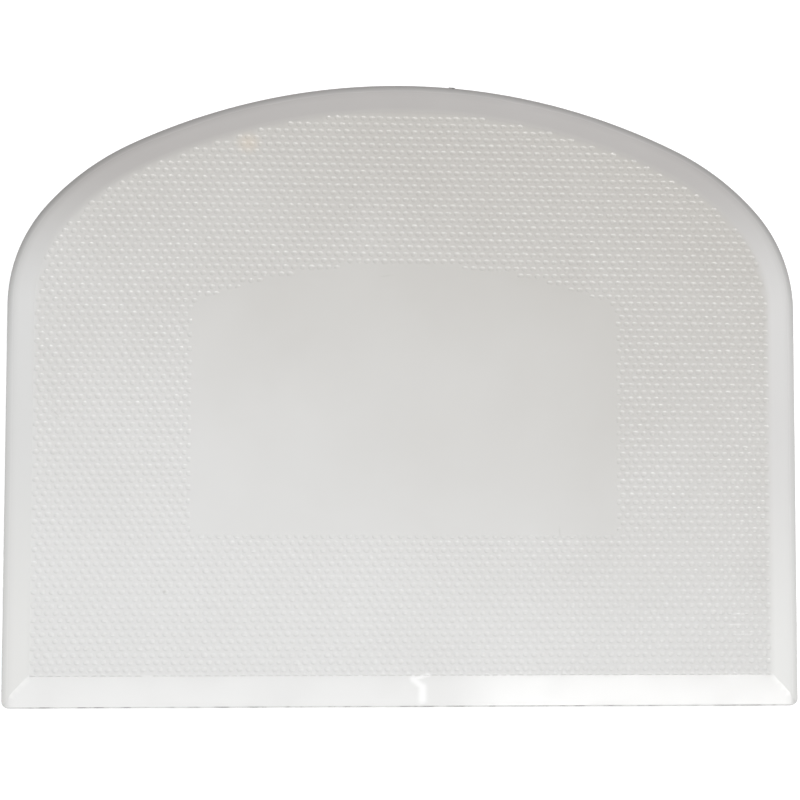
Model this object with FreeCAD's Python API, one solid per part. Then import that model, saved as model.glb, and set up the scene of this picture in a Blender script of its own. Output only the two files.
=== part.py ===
import FreeCAD, Part
import math
import os

# Flexible bowl and dough scraper, moulded in one piece from natural plastic.
#
# Frame: X along the straight scraping edge, +Y from that edge towards the rounded
# crown, +Z up through the sheet.  The origin is under the middle of the bounding box,
# on the surface that the scraper lies on.  All sizes are in millimetres.

# Outline
WIDTH = 120.0                # across the two straight sides
STRAIGHT_SIDE = 60.4         # from the scraping edge to where the shoulders start
SHOULDER_RADIUS = 23.0       # first arc above a straight side
SHOULDER_TURN = 41.5         # degrees from the side at which the shoulder arc ends
HAUNCH_RADIUS = 39.4         # second arc, between shoulder and crown
HAUNCH_TURN = 64.1           # degrees from the side at which the haunch arc ends
CORNER_RADIUS = 1.1          # at both ends of the scraping edge

# Section through the sheet
SHEET_THICKNESS = 2.0        # between the two smooth faces
DOT_HEIGHT = 0.12            # how far the grip dots stand above each face
EDGE_THICKNESS = 1.0         # of the wall all round the outline
RIM_WIDTH = 4.1              # bevel along the sides, shoulders and crown
SCRAPING_BEVEL = 4.95        # bevel along the scraping edge
EDGE_BREAK = 0.3             # narrow break between the edge wall and each bevel

# Smooth panel in the middle of the dotted field, on both faces
PANEL_WIDTH = 64.6
PANEL_BOTTOM = 25.8          # height of its lower edge above the scraping edge
PANEL_TOP = 66.8             # height of its arched upper edge at the middle
PANEL_ARCH_RADIUS = 90.0
PANEL_SHOULDER_RADIUS = 4.3  # between the arch and a side
PANEL_FOOT_RADIUS = 1.0      # between the lower edge and a side

# Scar of the moulding gate on the crown's edge wall
GATE_OFFSET = 7.1            # right of the middle
GATE_WIDTH = 0.9
GATE_HEIGHT = 0.5
GATE_PROUD = 0.12


def point(radius, degrees, centre):
    """A point in the XY plane at a radius and an angle from a centre."""
    angle = math.radians(degrees)
    x = centre.x + radius * math.cos(angle)
    y = centre.y + radius * math.sin(angle)
    return FreeCAD.Vector(x, y, 0)


def arc(centre, radius, start, end):
    """An arc edge, anticlockwise from start to end in degrees."""
    middle = (start + end) / 2
    ends = [point(radius, angle, centre) for angle in (start, middle, end)]
    return Part.Arc(*ends).toShape()


def line(start, end):
    return Part.LineSegment(start, end).toShape()


# The crown arc closes the outline: it is tangent to both haunches and centred on X = 0.
shoulder_centre = FreeCAD.Vector(WIDTH / 2 - SHOULDER_RADIUS, STRAIGHT_SIDE, 0)
haunch_centre = point(SHOULDER_RADIUS - HAUNCH_RADIUS, SHOULDER_TURN, shoulder_centre)
crown_shift = haunch_centre.x / math.cos(math.radians(HAUNCH_TURN))
CROWN_RADIUS = HAUNCH_RADIUS + crown_shift
crown_centre = point(-crown_shift, HAUNCH_TURN, haunch_centre)
HEIGHT = crown_centre.y + CROWN_RADIUS


def outline(side_inset, foot_inset, z):
    """The outline moved inwards, as a closed wire with square lower corners."""
    half = WIDTH / 2 - side_inset
    foot_left = FreeCAD.Vector(-half, foot_inset, 0)
    foot_right = FreeCAD.Vector(half, foot_inset, 0)
    side_right = FreeCAD.Vector(half, STRAIGHT_SIDE, 0)
    side_left = FreeCAD.Vector(-half, STRAIGHT_SIDE, 0)
    left_shoulder = FreeCAD.Vector(-shoulder_centre.x, shoulder_centre.y, 0)
    left_haunch = FreeCAD.Vector(-haunch_centre.x, haunch_centre.y, 0)
    shoulder = SHOULDER_RADIUS - side_inset
    haunch = HAUNCH_RADIUS - side_inset
    crown = CROWN_RADIUS - side_inset
    edges = [
        line(foot_left, foot_right),
        line(foot_right, side_right),
        arc(shoulder_centre, shoulder, 0, SHOULDER_TURN),
        arc(haunch_centre, haunch, SHOULDER_TURN, HAUNCH_TURN),
        arc(crown_centre, crown, HAUNCH_TURN, 90),
        arc(crown_centre, crown, 90, 180 - HAUNCH_TURN),
        arc(left_haunch, haunch, 180 - HAUNCH_TURN, 180 - SHOULDER_TURN),
        arc(left_shoulder, shoulder, 180 - SHOULDER_TURN, 180),
        line(side_left, foot_left),
    ]
    wire = Part.Wire(edges)
    wire.translate(FreeCAD.Vector(0, 0, z))
    return wire


def prism(wire, height):
    return Part.Face(wire).extrude(FreeCAD.Vector(0, 0, height))


def make_sheet():
    """The sheet: a bevel on each face down to a low edge wall with broken edges."""
    low = DOT_HEIGHT
    high = low + SHEET_THICKNESS
    middle = (low + high) / 2
    wall_low = middle - EDGE_THICKNESS / 2
    wall_high = middle + EDGE_THICKNESS / 2
    sections = [
        outline(RIM_WIDTH, SCRAPING_BEVEL, low),
        outline(EDGE_BREAK, EDGE_BREAK, wall_low),
        outline(0, 0, wall_low + EDGE_BREAK),
        outline(0, 0, wall_high - EDGE_BREAK),
        outline(EDGE_BREAK, EDGE_BREAK, wall_high),
        outline(RIM_WIDTH, SCRAPING_BEVEL, high),
    ]
    sheet = Part.makeLoft(sections, True, True)

    def is_corner(edge):
        box = edge.BoundBox
        return box.ZLength > SHEET_THICKNESS and box.XLength + box.YLength < 1e-3 and box.YMax < 1

    blank = prism(outline(0, 0, 0), high + low)
    corners = [edge for edge in blank.Edges if is_corner(edge)]
    return sheet.common(blank.makeFillet(CORNER_RADIUS, corners))


def panel_outline(z):
    """The smooth panel: upright sides, straight foot, arched top, rounded corners."""
    half = PANEL_WIDTH / 2
    arch_centre = FreeCAD.Vector(0, PANEL_TOP - PANEL_ARCH_RADIUS, 0)
    # The shoulder arc is inside the arch and tangent to it and to the upright side.
    shoulder_x = half - PANEL_SHOULDER_RADIUS
    reach = PANEL_ARCH_RADIUS - PANEL_SHOULDER_RADIUS
    shoulder_y = arch_centre.y + math.sqrt(reach ** 2 - shoulder_x ** 2)
    turn = math.degrees(math.atan2(shoulder_y - arch_centre.y, shoulder_x))
    right = FreeCAD.Vector(shoulder_x, shoulder_y, 0)
    left = FreeCAD.Vector(-shoulder_x, shoulder_y, 0)
    foot_x = half - PANEL_FOOT_RADIUS
    foot_y = PANEL_BOTTOM + PANEL_FOOT_RADIUS
    foot_right = FreeCAD.Vector(foot_x, foot_y, 0)
    foot_left = FreeCAD.Vector(-foot_x, foot_y, 0)
    edges = [
        line(FreeCAD.Vector(-foot_x, PANEL_BOTTOM, 0), FreeCAD.Vector(foot_x, PANEL_BOTTOM, 0)),
        arc(foot_right, PANEL_FOOT_RADIUS, 270, 360),
        line(FreeCAD.Vector(half, foot_y, 0), FreeCAD.Vector(half, shoulder_y, 0)),
        arc(right, PANEL_SHOULDER_RADIUS, 0, turn),
        arc(arch_centre, PANEL_ARCH_RADIUS, turn, 180 - turn),
        arc(left, PANEL_SHOULDER_RADIUS, 180 - turn, 180),
        line(FreeCAD.Vector(-half, shoulder_y, 0), FreeCAD.Vector(-half, foot_y, 0)),
        arc(foot_left, PANEL_FOOT_RADIUS, 180, 270),
    ]
    wire = Part.Wire(edges)
    wire.translate(FreeCAD.Vector(0, 0, z))
    return wire


def make_grip_field(z):
    """The dotted field of one face, as a layer as thick as the dots are high."""
    field = prism(outline(RIM_WIDTH, SCRAPING_BEVEL, z), DOT_HEIGHT)
    return field.cut(prism(panel_outline(z), DOT_HEIGHT))


def make_gate_scar():
    """A low stub on the crown's edge wall, where the mould was filled."""
    edge_y = crown_centre.y + math.sqrt(CROWN_RADIUS ** 2 - GATE_OFFSET ** 2)
    root = 1.0
    corner_x = GATE_OFFSET - GATE_WIDTH / 2
    corner_z = DOT_HEIGHT + (SHEET_THICKNESS - GATE_HEIGHT) / 2
    corner = FreeCAD.Vector(corner_x, edge_y - root, corner_z)
    return Part.makeBox(GATE_WIDTH, root + GATE_PROUD, GATE_HEIGHT, corner)


def make_scraper_blade():
    lower_field = make_grip_field(0)
    upper_field = make_grip_field(DOT_HEIGHT + SHEET_THICKNESS)
    solid = make_sheet().fuse([lower_field, upper_field, make_gate_scar()])
    solid = solid.removeSplitter()
    solid.translate(FreeCAD.Vector(0, -HEIGHT / 2, 0))
    return solid


os.makedirs("parts", exist_ok=True)
blade = make_scraper_blade()
blade.exportStep("parts/scraper_blade.step")

box = blade.BoundBox
print(f"crown radius {CROWN_RADIUS:.2f}, height {HEIGHT:.2f}")
print(f"size {box.XLength:.2f} x {box.YLength:.2f} x {box.ZLength:.2f}")
print(f"solids {len(blade.Solids)}, valid {blade.isValid()}, volume {blade.Volume:.1f}")
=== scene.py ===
import math

import bpy
import numpy as np
from mathutils import Matrix, Vector
from mathutils.geometry import delaunay_2d_cdt


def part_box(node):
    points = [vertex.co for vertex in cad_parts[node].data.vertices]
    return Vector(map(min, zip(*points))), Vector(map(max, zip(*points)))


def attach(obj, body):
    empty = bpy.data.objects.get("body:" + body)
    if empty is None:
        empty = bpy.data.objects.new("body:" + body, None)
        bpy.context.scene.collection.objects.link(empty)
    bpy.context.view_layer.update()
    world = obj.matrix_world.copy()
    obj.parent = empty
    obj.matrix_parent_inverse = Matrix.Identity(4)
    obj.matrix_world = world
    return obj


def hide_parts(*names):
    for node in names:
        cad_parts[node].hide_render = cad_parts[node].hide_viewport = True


# The looks of a flexible bowl and dough scraper: one moulded sheet of milky plastic with
# thousands of small grip dots on both faces, a smooth panel and a bevelled rim.
#
# Everything is in the frame of the CAD part: X along the scraping edge, +Y towards the
# crown, +Z up, and the origin under the middle of the box. The sheet is worked out in
# millimetres, and turned into metres where Blender needs them.

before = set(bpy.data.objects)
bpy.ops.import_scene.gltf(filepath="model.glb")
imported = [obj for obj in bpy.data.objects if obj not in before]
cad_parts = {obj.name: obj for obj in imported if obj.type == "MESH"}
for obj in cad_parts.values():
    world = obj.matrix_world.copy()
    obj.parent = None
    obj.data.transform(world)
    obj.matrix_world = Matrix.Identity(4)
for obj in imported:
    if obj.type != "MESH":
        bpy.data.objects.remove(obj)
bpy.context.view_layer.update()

MM = 0.001                   # metres
low_corner, high_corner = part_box("scraper_blade")
HALF_WIDTH = (high_corner.x - low_corner.x) / 2 / MM
FOOT_Y = low_corner.y / MM
MIDDLE_Z = (high_corner.z - low_corner.z) / MM / 2

# Outline, as tangent arcs above two straight sides
STRAIGHT_SIDE = 60.4
SHOULDER_RADIUS = 23.0
SHOULDER_TURN = math.radians(41.5)
HAUNCH_RADIUS = 39.4
HAUNCH_TURN = math.radians(64.1)
CORNER_RADIUS = 1.1

# Section: heights are above the sheet's middle plane
FACE_HEIGHT = 1.0
RIM_WIDTH = 4.1
RIM_DROP = 0.55
RIM_STRAIGHT_SHARE = 0.9     # share of the drop that is a straight slope; the rest curves down
RIM_ROLL_WIDTH = 0.3
RIM_ROLL_DROP = 0.12
FOOT_BEVEL = 4.95
FOOT_DROP = 0.62
FOOT_ROLL_WIDTH = 0.14
FOOT_ROLL_DROP = 0.1
ROLL_BLEND = 3.0             # the rim's roll fades into the foot's over this height

# Stub of the cut-off moulding gate on the crown's edge; the reaches are shares of its width
GATE_X = 7.1
GATE_WIDTH = 0.9
GATE_PROUD = 0.12
GATE_TOP_REACH = 0.5         # from its middle to the corners of its top
GATE_FOOT_REACH = 0.56       # from its middle to where it leaves the crown
GATE_FLANK_REACH = 0.53      # from its middle to the middle of a flank
GATE_CLEARANCE = 0.7         # the crown's own points stay this far from its middle
GATE_SPOT = (GATE_X + 0.2, 47)       # middle of its dark spot, in millimetres

# Grip dots, in rows that are offset by half a step
DOT_STEP = 1.303
DOT_ROW = 1.045
DOT_RADIUS = 0.42            # along Y
DOT_STRETCH = 1.2            # how much wider a dot is along X
DOT_HEIGHT = 0.105
DOT_FLATNESS = 2.1           # 2 is a plain dome; higher is flatter on top and steeper at the edge
DOT_SIZES = (0.93, 1.05)     # share of the radius and height, from the smallest to the largest
DOT_DRIFT = 0.02             # spread of the dots about their places, along each axis
DOT_SEED = 7
LATTICE_REACH = 50           # rows and steps of the lattice each way from the middle
MIDDLE_ROW_Y = 0.22
RIM_CLEARANCE = 0.4          # least distance from a dot's centre to the rim
FOOT_OVERLAP = 0.32          # how far a dot's centre may lie on the foot bevel
FADE_START = 0.25            # dots end this far down the foot bevel
FADE_SLOPE = 0.4             # and rise from there at most this steeply
NO_DOT_SIZE = 1e-3           # stands for the size of a missing dot, to divide by

# Smooth panel
PANEL_HALF_WIDTH = 32.3
PANEL_BOTTOM = 25.8
PANEL_TOP = 66.8
PANEL_ARCH_RADIUS = 90.0
PANEL_SHOULDER_RADIUS = 4.3
PANEL_FOOT_RADIUS = 1.0
CLIFF = 0.02                 # half the width of the cut through dots at the panel's border

# Zigzag knock in the foot bevel
DENT_PATH = ((3.6, -42.5), (1.3, -43.1), (2.7, -44.3), (2.7, -46.3))
DENT_WIDTHS = (0.28, 0.5, 0.62)
DENT_DEPTH = 0.008
DENT_STEEPNESS = 3

# Fineness of the mesh. Each ring of points on a dot has its share of the dot's radius,
# its number of points and its turn in radians. The upper face is the finer one.
UPPER_RINGS = ((0, 1, 0), (0.6, 5, 0.26), (1, 7, 0.39))
LOWER_RINGS = ((0, 1, 0), (1, 4, 0.26))
UPPER_SPACING = 0.8
LOWER_SPACING = 1.6
EDGE_STEP = 0.8
CORNER_STEP = 0.12
FIELD_BORDER_STEP = 0.6
ROLL_LOOPS = (0.025, 0.09, 0.2, 0.38, 0.65)  # distances inwards from the outline
BEVEL_ROWS = (0.26, 0.45, 0.65, 0.85)        # shares of the way up the bevels
FOOT_BORDER_ROWS = (-0.25, -0.12, 0.12)      # distances above the foot bevel's border
FOOT_BORDER_END = 0.2        # gap from those rows to the rim
MITRE_START = 1.3            # distance of a mitre's first point from the side
MITRE_END = 0.15             # gap from a mitre's last point to the field
MITRE_POINTS = 8
PANEL_CLEARANCE = 0.08       # least distance from a dot's points to the panel
PANEL_GRID_INSET = 0.5
DENT_GRID_X = (-0.5, 5, 0.25)                # from, to and step
DENT_GRID_Y = (-46.7, -42, 0.25)
DENT_GRID_GAP = 0.1          # from the grid round the dent to the foot bevel's border
INSIDE_CONSTRAINTS = 1       # Blender's number for triangles inside the fixed edges only
MERGE_DISTANCE = 1e-7
NORMAL_INSET = 0.08          # share of the way from a corner to the triangle's middle
SLOPE_REACH = 0.004          # half the distance over which a slope is read

# Spacings of points, as multiples of the face's own
BEVEL_SPARSENESS = 1.3
PANEL_BORDER_SPARSENESS = 0.3
PANEL_GRID_SPARSENESS = 2
FOOT_BORDER_SPARSENESS = 0.2

# Reach of the coloured zones along the rim and the edges, which hold painted light and shade
RIM_FADE = 0.9               # width over which the rim's colour turns into the field's
RIM_FADE_ON_RIM = 0.4        # share of that width that lies on the rim
MITRE_FADE = 0.06            # height over which the rim's colour ends at the mitres
EDGE_FADE = 1.4
FOOT_EDGE_FADE = 0.22

# Colours of the plastic; towards the crown, on the rims and along the edges they hold painted light and
# shade
SCRAPING_SIDE_COLOUR = (0.553, 0.553, 0.548, 1)
# Darker and warmer at the crown: painted shade
CROWN_SHADE_COLOUR = (0.40, 0.386, 0.364, 1)
# Rim colours are painted light and shade: each bevel paler or darker by how it faces the light
LEFT_RIM_SHADING_COLOUR = (0.535, 0.535, 0.53, 1)
RIGHT_RIM_SHADING_COLOUR = (0.51, 0.505, 0.50, 1)
LOWER_RIM_SHADING_COLOUR = (0.60, 0.60, 0.59, 1)
CROWN_RIM_SHADING_COLOUR = (0.352, 0.34, 0.332, 1)
# Painted shade for the dark line round the outline
EDGE_SHADE_COLOUR = (0.13, 0.128, 0.125, 1)
# Pale marks: the painted glint on the dent, and pale scratches
PALE_MARK_COLOUR = (0.8, 0.8, 0.8, 1)
STAIN_COLOUR = (0.56, 0.455, 0.33, 1)
SPECK_COLOUR = (0.3, 0.29, 0.27, 1)
GATE_COLOUR = (0.05, 0.048, 0.045, 1)
WHITE = (1, 1, 1, 1)

# Where one colour turns into the next: ranges of X or Y in metres
CROWN_SHADE_SLANT = 0.35      # how much the right side counts as part of the crown in the painted shade
CROWN_SHADE_RANGE = (-0.055, 0.066)
CLOUD_SHIFT = 0.03           # most that the tint shifts between two clouds
SIDE_RANGE = (-0.03, 0.03)
LOWER_RIM_RANGE = (-0.002, -0.045)
CROWN_RIM_RANGE = (0.012, 0.036)
# Painted shade along the edges, stronger towards the crown
EDGE_SHADE_RANGE = (0, 0.03)
EDGE_SHADE_AT_FOOT = 0.25
EDGE_SHADE_AT_CROWN = 0.45      # added to the edge's painted shade at the foot
# Strength of the painted glint on the dent
DENT_GLINT_STRENGTH = 0.4

# Gloss, and the heights of the fine relief in metres
MOULD_ROUGHNESS = 0.13
PATCH_ROUGHNESS = 0.06
WORN_EDGE_ROUGHNESS = 0.5
WAVE_HEIGHT = 4e-6
SCRATCH_DEPTH = 1.2e-6

# Camera: nearly straight down, at the photographed tilt
LENS = 80
SENSOR_WIDTH = 36
NEAR_CLIP = 0.01
PITCH = math.radians(-3.52)
YAW = math.radians(3.23)
ROLL = math.radians(-0.32)
AIM = (0, -0.31, MIDDLE_Z)           # millimetres
AIM_FROM_CAMERA = (0.75, 0.72, -270.6)

# Studio
FLOOR_HALF_WIDTH = 1.5
FLOOR_COLOUR = (0.97, 0.97, 0.97, 1)
FLOOR_ROUGHNESS = 0.9
FLOOR_GLOW = 0.12
STRIP_LOW = -0.182
STRIP_HIGH = -0.143
STRIP_BORDER_X = 0.043       # the left strip ends and the brighter right one begins
STRIP_HEIGHT = 0.3
FILL_HEIGHT = 0.5
SKY_STRENGTH = 0.36
AIM_NUDGE = 1e-4             # keeps a level light's own Y axis in line with the floor's


def direction(angle):
    return np.array((math.cos(angle), math.sin(angle)))


# Centres of the outline's arcs on the right side, and of the panel's
SIDE_TOP_Y = FOOT_Y + STRAIGHT_SIDE
shoulder_centre = np.array((HALF_WIDTH - SHOULDER_RADIUS, SIDE_TOP_Y))
haunch_centre = shoulder_centre - (HAUNCH_RADIUS - SHOULDER_RADIUS) * direction(SHOULDER_TURN)
crown_shift = haunch_centre[0] / math.cos(HAUNCH_TURN)
crown_centre = haunch_centre - crown_shift * direction(HAUNCH_TURN)
crown_radius = HAUNCH_RADIUS + crown_shift
panel_arch_y = FOOT_Y + PANEL_TOP - PANEL_ARCH_RADIUS
panel_shoulder_x = PANEL_HALF_WIDTH - PANEL_SHOULDER_RADIUS
panel_reach = PANEL_ARCH_RADIUS - PANEL_SHOULDER_RADIUS
panel_shoulder_y = panel_arch_y + math.sqrt(panel_reach ** 2 - panel_shoulder_x ** 2)


def arc_points(centre, radius, start, end, step):
    """Points along an arc, anticlockwise, without its last point."""
    count = max(2, int(math.ceil(radius * (end - start) / step)))
    angles = start + (end - start) * np.arange(count) / count
    return np.column_stack((centre[0] + radius * np.cos(angles), centre[1] + radius * np.sin(angles)))


def line_points(start, end, step):
    """Points along a straight line, without its last point."""
    start, end = np.array(start, float), np.array(end, float)
    count = max(1, int(math.ceil(np.linalg.norm(end - start) / step)))
    return start + (end - start) * (np.arange(count) / count)[:, None]


def mirrored(half):
    """A right half, from the middle of the foot to the top, closed with its mirror image."""
    return np.concatenate((half, half[-2:0:-1] * (-1, 1)))


def outline(side_inset, foot_inset, corner_radius, step):
    """The sheet's outline moved inwards, as a closed loop of points."""
    side_x = HALF_WIDTH - side_inset
    foot_y = FOOT_Y + foot_inset
    corner = (side_x - corner_radius, foot_y + corner_radius)
    half = [line_points((0, foot_y), (corner[0], foot_y), step)]
    if corner_radius > 0:
        half.append(arc_points(corner, corner_radius, -math.pi / 2, 0, min(step, CORNER_STEP)))
    half += [
        line_points((side_x, corner[1]), (side_x, SIDE_TOP_Y), step),
        arc_points(shoulder_centre, SHOULDER_RADIUS - side_inset, 0, SHOULDER_TURN, step),
        arc_points(haunch_centre, HAUNCH_RADIUS - side_inset, SHOULDER_TURN, HAUNCH_TURN, step),
        arc_points(crown_centre, crown_radius - side_inset, HAUNCH_TURN, math.pi / 2, step),
        np.array([(0, crown_centre[1] + crown_radius - side_inset)]),
    ]
    return mirrored(np.concatenate(half))


def edge_loop():
    """The sheet's outermost points, with the stub of the moulding gate on the crown."""
    loop = outline(0, 0, CORNER_RADIUS, EDGE_STEP)
    at_gate = (np.abs(loop[:, 0] - GATE_X) < GATE_CLEARANCE * GATE_WIDTH) & (loop[:, 1] > 0)
    first, last = np.flatnonzero(at_gate)[[0, -1]]
    reaches = (GATE_FOOT_REACH, GATE_TOP_REACH, 0, -GATE_TOP_REACH, -GATE_FOOT_REACH)
    x = GATE_X + GATE_WIDTH * np.array(reaches)
    y = crown_centre[1] + np.sqrt(crown_radius ** 2 - x ** 2) + GATE_PROUD * np.array((0, 1, 1, 1, 0))
    return np.concatenate((loop[:first], np.column_stack((x, y)), loop[last + 1:]))


def panel_loop(grow, step):
    """The smooth panel's outline, grown by a small amount."""
    half_width = PANEL_HALF_WIDTH + grow
    bottom = FOOT_Y + PANEL_BOTTOM - grow
    foot = (PANEL_HALF_WIDTH - PANEL_FOOT_RADIUS, FOOT_Y + PANEL_BOTTOM + PANEL_FOOT_RADIUS)
    shoulder = (panel_shoulder_x, panel_shoulder_y)
    arch = (0, panel_arch_y)
    turn = math.atan2(panel_shoulder_y - panel_arch_y, panel_shoulder_x)
    half = [
        line_points((0, bottom), (foot[0], bottom), step),
        arc_points(foot, PANEL_FOOT_RADIUS + grow, -math.pi / 2, 0, step),
        line_points((half_width, foot[1]), (half_width, panel_shoulder_y), step),
        arc_points(shoulder, PANEL_SHOULDER_RADIUS + grow, 0, turn, step),
        arc_points(arch, PANEL_ARCH_RADIUS + grow, turn, math.pi / 2, step),
        np.array([(0, panel_arch_y + PANEL_ARCH_RADIUS + grow)]),
    ]
    return mirrored(np.concatenate(half))


def smoothstep(t):
    """From 0 to 1 as t does, with level ends."""
    t = np.clip(t, 0, 1)
    return t * t * (3 - 2 * t)


def side_distance(p):
    """Distance inwards from the sides, shoulders and crown."""
    x, y = np.abs(p[:, 0]), p[:, 1]
    d = HALF_WIDTH - x
    for centre, radius, turn in (
        (shoulder_centre, SHOULDER_RADIUS, 0.0),
        (haunch_centre, HAUNCH_RADIUS, SHOULDER_TURN),
        (crown_centre, crown_radius, HAUNCH_TURN),
    ):
        dx, dy = x - centre[0], y - centre[1]
        beyond = (np.arctan2(dy, dx) >= turn) & (y > SIDE_TOP_Y)
        d = np.where(beyond, radius - np.hypot(dx, dy), d)
    return d


def outline_distance(p):
    """Distance inwards from the whole outline, with its rounded lower corners."""
    side, foot = side_distance(p), p[:, 1] - FOOT_Y
    near_corner = (side < CORNER_RADIUS) & (foot < CORNER_RADIUS)
    round_corner = CORNER_RADIUS - np.hypot(CORNER_RADIUS - side, CORNER_RADIUS - foot)
    return np.where(near_corner, round_corner, np.minimum(side, foot))


def side_bevel(d):
    """Height of the bevel round sides and crown, at a distance from them."""
    t = np.clip((RIM_WIDTH - d) / RIM_WIDTH, 0, 1)
    return FACE_HEIGHT - RIM_DROP * (RIM_STRAIGHT_SHARE * t + (1 - RIM_STRAIGHT_SHARE) * t * t)


def foot_bevel(d):
    """Height of the bevel along the scraping edge, at a distance from it."""
    return FACE_HEIGHT - FOOT_DROP * np.clip((FOOT_BEVEL - d) / FOOT_BEVEL, 0, 1)


def face_height(p):
    """Height of the smooth surface above the middle plane: face, bevels and rolled edge."""
    height = np.minimum(side_bevel(side_distance(p)), foot_bevel(p[:, 1] - FOOT_Y))
    side_share = smoothstep((p[:, 1] - FOOT_Y) / ROLL_BLEND)
    width = FOOT_ROLL_WIDTH + (RIM_ROLL_WIDTH - FOOT_ROLL_WIDTH) * side_share
    drop = FOOT_ROLL_DROP + (RIM_ROLL_DROP - FOOT_ROLL_DROP) * side_share
    t = np.clip(1 - outline_distance(p) / width, 0, 1)
    return height - drop * (1 - np.sqrt(1 - t * t))


def in_panel(p, grow):
    """True for points inside the smooth panel grown by a small amount."""
    x, y = np.abs(p[:, 0]), p[:, 1]
    inside = (x < PANEL_HALF_WIDTH + grow) & (y > FOOT_Y + PANEL_BOTTOM - grow)
    inside &= np.hypot(x, y - panel_arch_y) < PANEL_ARCH_RADIUS + grow
    in_sector = (x > panel_shoulder_x) & (y > panel_shoulder_y)
    in_sector &= (y - panel_arch_y) * panel_shoulder_x < x * (panel_shoulder_y - panel_arch_y)
    from_shoulder = np.hypot(x - panel_shoulder_x, y - panel_shoulder_y)
    return inside & ~(in_sector & (from_shoulder > PANEL_SHOULDER_RADIUS + grow))


def is_dot(centres):
    """True for lattice places that hold a dot: clear of the rim and outside the panel."""
    clear = side_distance(centres) > RIM_WIDTH + RIM_CLEARANCE
    clear &= centres[:, 1] - FOOT_Y > FOOT_BEVEL - FOOT_OVERLAP
    return clear & ~in_panel(centres, 0)


# Place and size of every dot, by row and step from the middle of the sheet
lattice_span = np.arange(-LATTICE_REACH, LATTICE_REACH + 1)
lattice_row, lattice_step = np.meshgrid(lattice_span, lattice_span, indexing="ij")
random = np.random.default_rng(DOT_SEED)
drift_x = random.normal(0, DOT_DRIFT, lattice_row.shape)
drift_y = random.normal(0, DOT_DRIFT, lattice_row.shape)
dot_x = (lattice_step + 0.5 * (lattice_row % 2)) * DOT_STEP + drift_x
dot_y = MIDDLE_ROW_Y + lattice_row * DOT_ROW + drift_y
dot_size = random.uniform(*DOT_SIZES, lattice_row.shape)
lattice = np.column_stack((dot_x.ravel(), dot_y.ravel()))
dot_size = np.where(is_dot(lattice).reshape(dot_size.shape), dot_size, 0)
dot_top = DOT_HEIGHT * dot_size


def dot_height(p):
    """Height of the grip dots above the smooth face at each point."""
    best = np.zeros(len(p))
    nearest_row = np.round((p[:, 1] - MIDDLE_ROW_Y) / DOT_ROW).astype(int)
    for row in (nearest_row - 1, nearest_row, nearest_row + 1):
        step = np.round(p[:, 0] / DOT_STEP - 0.5 * (row % 2)).astype(int)
        place = (row + LATTICE_REACH, step + LATTICE_REACH)
        size = dot_size[place]
        radius = np.hypot((p[:, 0] - dot_x[place]) / DOT_STRETCH, p[:, 1] - dot_y[place])
        share = radius / (DOT_RADIUS * np.maximum(size, NO_DOT_SIZE))
        best = np.maximum(best, dot_top[place] * (1 - share ** DOT_FLATNESS))
    return best


def dent_share(p):
    """From 0 to 1 towards the middle of the zigzag knock in the foot bevel."""
    nearest = np.full(len(p), np.inf)
    for start, end, width in zip(DENT_PATH, DENT_PATH[1:], DENT_WIDTHS):
        start, along = np.array(start), np.subtract(end, start)
        share = np.clip((p - start) @ along / (along @ along), 0, 1)
        nearest = np.minimum(nearest, np.hypot(*(p - start - share[:, None] * along).T) / width)
    return np.exp(-nearest ** DENT_STEEPNESS)


def surface_height(p):
    """Height of the finished face above the sheet's middle plane."""
    dots = np.where(in_panel(p, 0), 0, dot_height(p))
    above_end = p[:, 1] - FOOT_Y - FOOT_BEVEL + FADE_START
    dots = np.minimum(dots, FADE_SLOPE * np.maximum(above_end, 0))
    return face_height(p) + dots - DENT_DEPTH * dent_share(p)


def dot_ring(share, count, turn):
    """Points round every dot, at a share of its radius."""
    size = dot_size.ravel()
    centres, size = lattice[size > 0], size[size > 0]
    angles = turn + 2 * math.pi * np.arange(count) / count
    unit = np.column_stack((DOT_STRETCH * np.cos(angles), np.sin(angles)))
    return (centres[:, None] + share * DOT_RADIUS * size[:, None, None] * unit).reshape(-1, 2)


class Plan:
    """Points and fixed edges of one face of the sheet, seen from above."""

    def __init__(self):
        self.points = []
        self.edges = []
        self.count = 0

    def add(self, points):
        """Add loose points, and return the number of the first one."""
        self.points.append(points)
        self.count += len(points)
        return self.count - len(points)

    def add_path(self, points):
        first = self.add(points)
        self.edges += [(first + i, first + i + 1) for i in range(len(points) - 1)]

    def add_loop(self, points):
        first = self.add(points)
        n = len(points)
        self.edges += [(first + i, first + (i + 1) % n) for i in range(n)]


def mitre_path(side):
    """The crease where a side bevel meets the foot bevel, up to the field's corner."""
    side_d = np.linspace(MITRE_START, RIM_WIDTH - MITRE_END, MITRE_POINTS)
    foot_d = FOOT_BEVEL * (1 - (FACE_HEIGHT - side_bevel(side_d)) / FOOT_DROP)
    return np.column_stack((side * (HALF_WIDTH - side_d), FOOT_Y + foot_d))


def grid_points(x_values, y_values):
    return np.array([(x, y) for x in x_values for y in y_values])


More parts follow.
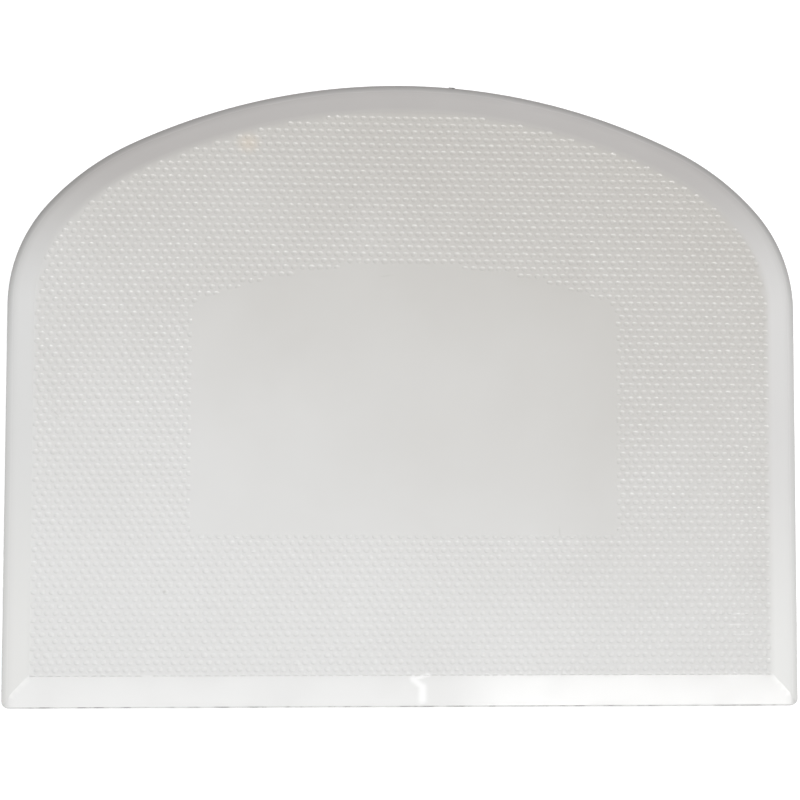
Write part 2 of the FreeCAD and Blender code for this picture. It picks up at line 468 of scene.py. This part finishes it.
def face_plan(rings, spacing):
    """Everything that one face needs: edge, bevels, borders, dots, dent and panel grid."""
    plan = Plan()
    plan.add_loop(edge_loop())
    for d in ROLL_LOOPS:
        plan.add_loop(outline(d, d, CORNER_RADIUS - d, spacing))
    for t in BEVEL_ROWS:
        plan.add(outline(t * RIM_WIDTH, t * FOOT_BEVEL, 0, BEVEL_SPARSENESS * spacing))
    plan.add_path(mitre_path(1))
    plan.add_path(mitre_path(-1))
    plan.add_loop(outline(RIM_WIDTH, FOOT_BEVEL, 0, FIELD_BORDER_STEP))
    plan.add_loop(panel_loop(CLIFF, PANEL_BORDER_SPARSENESS * spacing))
    plan.add_loop(panel_loop(-CLIFF, PANEL_BORDER_SPARSENESS * spacing))
    for share, count, turn in rings:
        points = dot_ring(share, count, turn)
        plan.add(points[~in_panel(points, PANEL_CLEARANCE)])
    for above in FOOT_BORDER_ROWS:
        left = RIM_WIDTH - HALF_WIDTH + FOOT_BORDER_END
        right = HALF_WIDTH - RIM_WIDTH - FOOT_BORDER_END
        x = np.arange(left, right, FOOT_BORDER_SPARSENESS * spacing)
        plan.add(np.column_stack((x, np.full(len(x), FOOT_Y + FOOT_BEVEL + above))))
    near_dent = grid_points(np.arange(*DENT_GRID_X), np.arange(*DENT_GRID_Y))
    plan.add(near_dent[near_dent[:, 1] - FOOT_Y < FOOT_BEVEL - DENT_GRID_GAP])
    spots = np.arange(-HALF_WIDTH, HALF_WIDTH, PANEL_GRID_SPARSENESS * spacing)
    grid = grid_points(spots, spots)
    plan.add(grid[in_panel(grid, -PANEL_GRID_INSET)])
    return plan


def triangulate(plan):
    """Points and triangles of a plan, each triangle anticlockwise."""
    corners = [Vector((x, y)) for x, y in np.concatenate(plan.points)]
    made, _, faces, _, _, _ = delaunay_2d_cdt(
        corners, plan.edges, [], INSIDE_CONSTRAINTS, MERGE_DISTANCE, False)
    points, faces = np.array([(v.x, v.y) for v in made]), np.array(faces)
    # The outline is hollow beside the stub, and the slivers across those hollows go
    middles = points[faces].mean(1)
    in_stub = np.abs(middles[:, 0] - GATE_X) < GATE_FLANK_REACH * GATE_WIDTH
    faces = faces[(side_distance(middles) > 0) | in_stub]
    a, b, c = (points[faces[:, i]] for i in range(3))
    turn = (b[:, 0] - a[:, 0]) * (c[:, 1] - a[:, 1]) - (b[:, 1] - a[:, 1]) * (c[:, 0] - a[:, 0])
    faces[turn < 0] = faces[turn < 0][:, ::-1]
    return points, faces


def corner_normals(points, faces):
    """The surface's own normal at each triangle's corners, read just inside the triangle."""
    corners = points[faces]
    inside = corners + NORMAL_INSET * (corners.mean(1, keepdims=True) - corners)
    inside = inside.reshape(-1, 2)
    slopes = []
    for reach in (np.array((SLOPE_REACH, 0)), np.array((0, SLOPE_REACH))):
        rise = surface_height(inside + reach) - surface_height(inside - reach)
        slopes.append(rise / (2 * SLOPE_REACH))
    normals = np.column_stack((-slopes[0], -slopes[1], np.ones(len(inside))))
    return normals / np.linalg.norm(normals, axis=1, keepdims=True)


def rim_normals(rim):
    """Level outward normals of the outline's points."""
    along = np.roll(rim, -1, 0) - np.roll(rim, 1, 0)
    normals = np.column_stack((along[:, 1], -along[:, 0], np.zeros(len(rim))))
    return normals / np.linalg.norm(normals, axis=1, keepdims=True)


def store_share(mesh, name, share):
    """Keep a number from 0 to 1 at every point of the mesh, for the material."""
    attribute = mesh.attributes.new(name, "FLOAT", "POINT")
    attribute.data.foreach_set("value", np.asarray(share, dtype=np.float32))


def store_zones(mesh, points, upper_count):
    """Store where the rim, the edges and the dent are: masks for painted light and shade on the rim,
    painted shade and worn roughness along the edges, and the dent's painted glint; only the upper face
    gets the glint.
    """
    inwards = side_distance(points)
    above_foot = foot_bevel(points[:, 1] - FOOT_Y) - side_bevel(inwards)
    on_rim = 1 - smoothstep((inwards - RIM_WIDTH) / RIM_FADE + RIM_FADE_ON_RIM)
    is_upper = np.arange(len(points)) < upper_count
    store_share(mesh, "rim", on_rim * smoothstep(above_foot / MITRE_FADE + 1))
    store_share(mesh, "edge", 1 - smoothstep(inwards / EDGE_FADE))
    store_share(mesh, "foot_edge", 1 - smoothstep((points[:, 1] - FOOT_Y) / FOOT_EDGE_FADE))
    store_share(mesh, "dent_glint", np.where(is_upper, dent_share(points), 0))


def sheet_mesh():
    """Two dotted faces back to back, joined round the outline by the edge wall."""
    upper_points, upper_faces = triangulate(face_plan(UPPER_RINGS, UPPER_SPACING))
    lower_points, lower_faces = triangulate(face_plan(LOWER_RINGS, LOWER_SPACING))
    upper = np.column_stack((upper_points, MIDDLE_Z + surface_height(upper_points)))
    lower = np.column_stack((lower_points, MIDDLE_Z - surface_height(lower_points)))

    # Each face's points start with the edge loop, so the wall joins equal numbers
    rim = edge_loop()
    rim_count = len(rim)
    first_lower = len(upper_points)
    wall = []
    for i in range(rim_count):
        j = (i + 1) % rim_count
        wall.append((first_lower + i, first_lower + j, j, i))
    polygons = upper_faces.tolist() + (lower_faces[:, ::-1] + first_lower).tolist() + wall
    mesh = bpy.data.meshes.new("scraper_sheet")
    mesh.from_pydata((np.concatenate((upper, lower)) * MM).tolist(), [], polygons)
    mesh.shade_smooth()

    upper_normals = corner_normals(upper_points, upper_faces)
    lower_normals = corner_normals(lower_points, lower_faces) * (1, 1, -1)
    lower_normals = lower_normals.reshape(-1, 3, 3)[:, ::-1].reshape(-1, 3)
    outwards = rim_normals(rim)
    wall_normals = [outwards[v % first_lower] for face in wall for v in face]
    mesh.normals_split_custom_set(np.concatenate((upper_normals, lower_normals, wall_normals)).tolist())
    store_zones(mesh, np.concatenate((upper_points, lower_points)), first_lower)
    return mesh


def add_object(name, data):
    made = bpy.data.objects.new(name, data)
    bpy.context.scene.collection.objects.link(made)
    return made


# Places of the colour sockets among a Mix node's inputs and outputs
MIX_SHARE = 0
MIX_FIRST_COLOUR = 6
MIX_SECOND_COLOUR = 7
MIX_COLOUR_RESULT = 2


class Wiring:
    """The nodes of one material, with short ways to add and join them."""

    def __init__(self, material):
        material.use_nodes = True
        self.nodes = material.node_tree.nodes
        self.links = material.node_tree.links
        self.shader = self.nodes["Principled BSDF"]
        self.place = self.nodes.new("ShaderNodeTexCoord").outputs["Object"]
        split = self.nodes.new("ShaderNodeSeparateXYZ")
        self.wire(split, "Vector", self.place)
        self.x = split.outputs["X"]
        self.y = split.outputs["Y"]
        join = self.nodes.new("ShaderNodeCombineXYZ")
        self.wire(join, "X", self.x)
        self.wire(join, "Y", self.y)
        self.flat_place = join.outputs["Vector"]

    def wire(self, node, name, value):
        """Give an input its value, or the output that feeds it."""
        if isinstance(value, bpy.types.NodeSocket):
            self.links.new(value, node.inputs[name])
        else:
            node.inputs[name].default_value = value

    def calculate(self, operation, first, second):
        node = self.nodes.new("ShaderNodeMath")
        node.operation = operation
        self.wire(node, 0, first)
        self.wire(node, 1, second)
        return node.outputs[0]

    def add(self, first, second):
        return self.calculate("ADD", first, second)

    def multiply(self, first, second):
        return self.calculate("MULTIPLY", first, second)

    def smooth_range(self, value, low, high):
        """From 0 to 1 as a value goes from low to high, with level ends."""
        node = self.nodes.new("ShaderNodeMapRange")
        node.interpolation_type = "SMOOTHSTEP"
        self.wire(node, "Value", value)
        self.wire(node, "From Min", low)
        self.wire(node, "From Max", high)
        return node.outputs["Result"]

    def mix(self, share, first, second):
        """From the first colour to the second as the share goes from 0 to 1."""
        node = self.nodes.new("ShaderNodeMix")
        node.data_type = "RGBA"
        self.wire(node, MIX_SHARE, share)
        self.wire(node, MIX_FIRST_COLOUR, first)
        self.wire(node, MIX_SECOND_COLOUR, second)
        return node.outputs[MIX_COLOUR_RESULT]

    def share_of(self, name):
        """A share that is kept at the mesh's points."""
        node = self.nodes.new("ShaderNodeAttribute")
        node.attribute_name = name
        return node.outputs["Fac"]

    def noise(self, scale, detail, stretch=(1, 1, 1)):
        mapping = self.nodes.new("ShaderNodeMapping")
        self.wire(mapping, "Vector", self.place)
        self.wire(mapping, "Scale", stretch)
        node = self.nodes.new("ShaderNodeTexNoise")
        self.wire(node, "Vector", mapping.outputs["Vector"])
        self.wire(node, "Scale", scale)
        self.wire(node, "Detail", detail)
        return node.outputs["Fac"]

    def mark(self, base, colour, strength, where, length, width, turn=0):
        """One soft oval or streak of another colour, placed in millimetres and degrees."""
        mapping = self.nodes.new("ShaderNodeMapping")
        mapping.vector_type = "TEXTURE"
        self.wire(mapping, "Vector", self.flat_place)
        self.wire(mapping, "Location", (where[0] * MM, where[1] * MM, 0))
        self.wire(mapping, "Rotation", (0, 0, math.radians(turn)))
        self.wire(mapping, "Scale", (length * MM / 2, width * MM / 2, 1))
        node = self.nodes.new("ShaderNodeVectorMath")
        node.operation = "LENGTH"
        self.wire(node, 0, mapping.outputs["Vector"])
        share = self.smooth_range(node.outputs["Value"], 1, 0)
        return self.mix(self.multiply(share, strength), base, colour)


def plain_colour(wiring):
    """Warmer and darker towards the crown, which is painted shade, with soft clouds; paler side rims
    and a darker crown rim, which are painted light and shade on the bevels.
    """
    across = wiring.add(wiring.y, wiring.multiply(wiring.x, CROWN_SHADE_SLANT))
    cloud = wiring.calculate("SUBTRACT", wiring.noise(scale=45, detail=3), 0.5)
    cloud = wiring.multiply(cloud, CLOUD_SHIFT)
    # Painted shade: darker and warmer towards the crown and the right
    crown = wiring.smooth_range(wiring.add(across, cloud), *CROWN_SHADE_RANGE)
    field = wiring.mix(crown, SCRAPING_SIDE_COLOUR, CROWN_SHADE_COLOUR)
    rightwards = wiring.smooth_range(wiring.x, *SIDE_RANGE)
    # Painted light and shade on the rims: paler low down and at the sides, darker at the crown
    rim = wiring.mix(rightwards, LEFT_RIM_SHADING_COLOUR, RIGHT_RIM_SHADING_COLOUR)
    rim = wiring.mix(wiring.smooth_range(wiring.y, *LOWER_RIM_RANGE), rim, LOWER_RIM_SHADING_COLOUR)
    rim = wiring.mix(wiring.smooth_range(wiring.y, *CROWN_RIM_RANGE), rim, CROWN_RIM_SHADING_COLOUR)
    return wiring.mix(wiring.share_of("rim"), field, rim)


def used_colour(wiring, colour):
    """The plain colour with painted shade along the edges, broken into streaks along the foot, a
    painted glint on the dent, pale scratches, a stain, dark streaks and the gate's spot.
    """
    # Painted shade along the edges, darker towards the crown
    upwards = wiring.smooth_range(wiring.y, *EDGE_SHADE_RANGE)
    edge_shade_strength = wiring.add(EDGE_SHADE_AT_FOOT, wiring.multiply(upwards, EDGE_SHADE_AT_CROWN))
    edge_shade = wiring.multiply(wiring.share_of("edge"), edge_shade_strength)
    colour = wiring.mix(edge_shade, colour, EDGE_SHADE_COLOUR)
    # Painted shade of the foot's thin dark edge line, broken into streaks
    edge_shade_streaks = wiring.noise(scale=420, detail=4, stretch=(1, 0.01, 0.01))
    edge_shade_streaks = wiring.smooth_range(edge_shade_streaks, low=0.44, high=0.62)
    streaky_edge_shade = wiring.multiply(wiring.share_of("foot_edge"), edge_shade_streaks)
    colour = wiring.mix(streaky_edge_shade, colour, EDGE_SHADE_COLOUR)
    # Painted glint on the dent in the foot bevel
    dent_glint = wiring.multiply(wiring.share_of("dent_glint"), DENT_GLINT_STRENGTH)
    colour = wiring.mix(dent_glint, colour, PALE_MARK_COLOUR)

    colour = wiring.mark(colour, STAIN_COLOUR, 0.28, (-24, 38), length=5, width=4.4)
    colour = wiring.mark(colour, SPECK_COLOUR, 0.35, (-36, -30), length=0.9, width=0.7)
    colour = wiring.mark(colour, SPECK_COLOUR, 0.3, (-52.5, -3.3), length=2.6, width=0.35, turn=-45)
    colour = wiring.mark(colour, SPECK_COLOUR, 0.2, (23.5, -21), length=2.4, width=0.4, turn=95)
    colour = wiring.mark(colour, SPECK_COLOUR, 0.16, (-3, 17.8), length=3.2, width=0.4, turn=8)
    colour = wiring.mark(colour, GATE_COLOUR, 0.9, GATE_SPOT, length=0.7, width=0.35, turn=-4)
    for where, length in (((51, -33.4), 5), ((50.4, -35), 4), ((51.6, -36.5), 4.4)):
        colour = wiring.mark(colour, PALE_MARK_COLOUR, 0.22, where, length, width=0.4, turn=1)
    return colour


def gloss(wiring):
    """Roughness: glossy from the mould, dulled in patches and along the worn edge."""
    patches = wiring.smooth_range(wiring.noise(scale=160, detail=4), low=0.35, high=0.75)
    patches = wiring.multiply(patches, PATCH_ROUGHNESS)
    worn = wiring.multiply(wiring.share_of("edge"), WORN_EDGE_ROUGHNESS)
    return wiring.add(wiring.add(MOULD_ROUGHNESS, patches), worn)


def fine_relief(wiring):
    """Slight waves, and fine scratches along the scraping edge and across it, as bump."""
    waves = wiring.multiply(wiring.noise(scale=220, detail=2), WAVE_HEIGHT)
    along = wiring.noise(scale=900, detail=2, stretch=(0.12, 1.6, 1))
    along = wiring.smooth_range(along, low=0.60, high=0.72)
    across = wiring.noise(scale=1100, detail=2, stretch=(1.6, 0.15, 1))
    across = wiring.smooth_range(across, low=0.62, high=0.74)
    scratches = wiring.multiply(wiring.add(along, across), -SCRATCH_DEPTH)
    bump = wiring.nodes.new("ShaderNodeBump")
    wiring.wire(bump, "Height", wiring.add(waves, scratches))
    wiring.wire(bump, "Distance", 1.0)
    wiring.wire(bump, "Strength", 1.0)
    return bump.outputs["Normal"]


def plastic_material():
    """Milky, slightly translucent plastic."""
    material = bpy.data.materials.new("scraper_plastic")
    wiring = Wiring(material)
    shader = wiring.shader
    wiring.wire(shader, "IOR", 1.49)
    wiring.wire(shader, "Subsurface Weight", 0.1)
    wiring.wire(shader, "Subsurface Radius", (1.0, 0.95, 0.9))
    wiring.wire(shader, "Subsurface Scale", 0.001)
    wiring.wire(shader, "Base Color", used_colour(wiring, plain_colour(wiring)))
    wiring.wire(shader, "Roughness", gloss(wiring))
    wiring.wire(shader, "Normal", fine_relief(wiring))
    return material


def floor_material():
    material = bpy.data.materials.new("pale_floor")
    material.use_nodes = True
    shader = material.node_tree.nodes["Principled BSDF"]
    shader.inputs["Base Color"].default_value = FLOOR_COLOUR
    shader.inputs["Roughness"].default_value = FLOOR_ROUGHNESS
    shader.inputs["Emission Color"].default_value = WHITE
    shader.inputs["Emission Strength"].default_value = FLOOR_GLOW
    return material


def make_floor():
    half = FLOOR_HALF_WIDTH
    corners = [(-half, -half, 0), (half, -half, 0), (half, half, 0), (-half, half, 0)]
    mesh = bpy.data.meshes.new("floor")
    mesh.from_pydata(corners, [], [(0, 1, 2, 3)])
    mesh.materials.append(floor_material())
    return add_object("floor", mesh)


def add_light(name, where, target, width, depth, power):
    light = bpy.data.lights.new(name, "AREA")
    light.shape = "RECTANGLE"
    light.size = width
    light.size_y = depth
    light.energy = power
    lamp = add_object(name, light)
    aim = Vector(target) - Vector(where)
    lamp.matrix_world = Matrix.Translation(where) @ aim.to_track_quat("-Z", "Y").to_matrix().to_4x4()
    return lamp


def level_light(name, left, right, low, high, height, radiance):
    """A light that faces straight down over a rectangle of the floor."""
    centre = ((left + right) / 2, (low + high) / 2, height)
    width, depth = right - left, high - low
    target = (centre[0], centre[1] - AIM_NUDGE, 0)
    return add_light(name, centre, target, width, depth, math.pi * radiance * width * depth)


def make_studio():
    """Strips beyond the scraping edge, a long window beyond the crown, and soft fill."""
    strip = {"low": STRIP_LOW, "high": STRIP_HIGH, "height": STRIP_HEIGHT}
    level_light("strip_left", left=-0.40, right=STRIP_BORDER_X, radiance=4.7, **strip)
    level_light("strip_right", left=STRIP_BORDER_X, right=0.26, radiance=8.9, **strip)
    window = {"where": (0.18, 0.40, 0.40), "target": (0.108, 0, 0)}
    add_light("window", width=0.8, depth=0.14, power=2.75, **window)
    overhead = {"left": -0.32, "right": 0.13, "low": -0.13, "high": 0.10, "height": FILL_HEIGHT}
    right_fill = {"left": 0.27, "right": 0.37, "low": -0.15, "high": 0.15, "height": FILL_HEIGHT}
    level_light("overhead", radiance=3.4, **overhead).visible_glossy = False
    level_light("right_fill", radiance=2.5, **right_fill).visible_glossy = False
    world = bpy.data.worlds.new("studio")
    world.use_nodes = True
    background = world.node_tree.nodes["Background"]
    background.inputs["Color"].default_value = WHITE
    background.inputs["Strength"].default_value = SKY_STRENGTH
    bpy.context.scene.world = world
    bpy.context.scene.view_settings.view_transform = "Standard"


def make_camera():
    """Nearly straight down, with the small tilts that make one side look a little wider."""
    data = bpy.data.cameras.new("camera")
    data.lens = LENS
    data.sensor_width = SENSOR_WIDTH
    data.clip_start = NEAR_CLIP
    camera = add_object("camera", data)
    pitch = Matrix.Rotation(PITCH, 3, "X")
    yaw = Matrix.Rotation(YAW, 3, "Y")
    roll = Matrix.Rotation(ROLL, 3, "Z")
    turn = (roll @ yaw @ pitch).transposed()
    place = Vector(AIM) * MM - turn @ (Vector(AIM_FROM_CAMERA) * MM)
    camera.matrix_world = Matrix.Translation(place) @ turn.to_4x4()
    bpy.context.scene.camera = camera


sheet = add_object("moulded_sheet", sheet_mesh())
sheet.data.materials.append(plastic_material())
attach(sheet, "root")
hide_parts("scraper_blade")
make_floor()
make_camera()
make_studio()
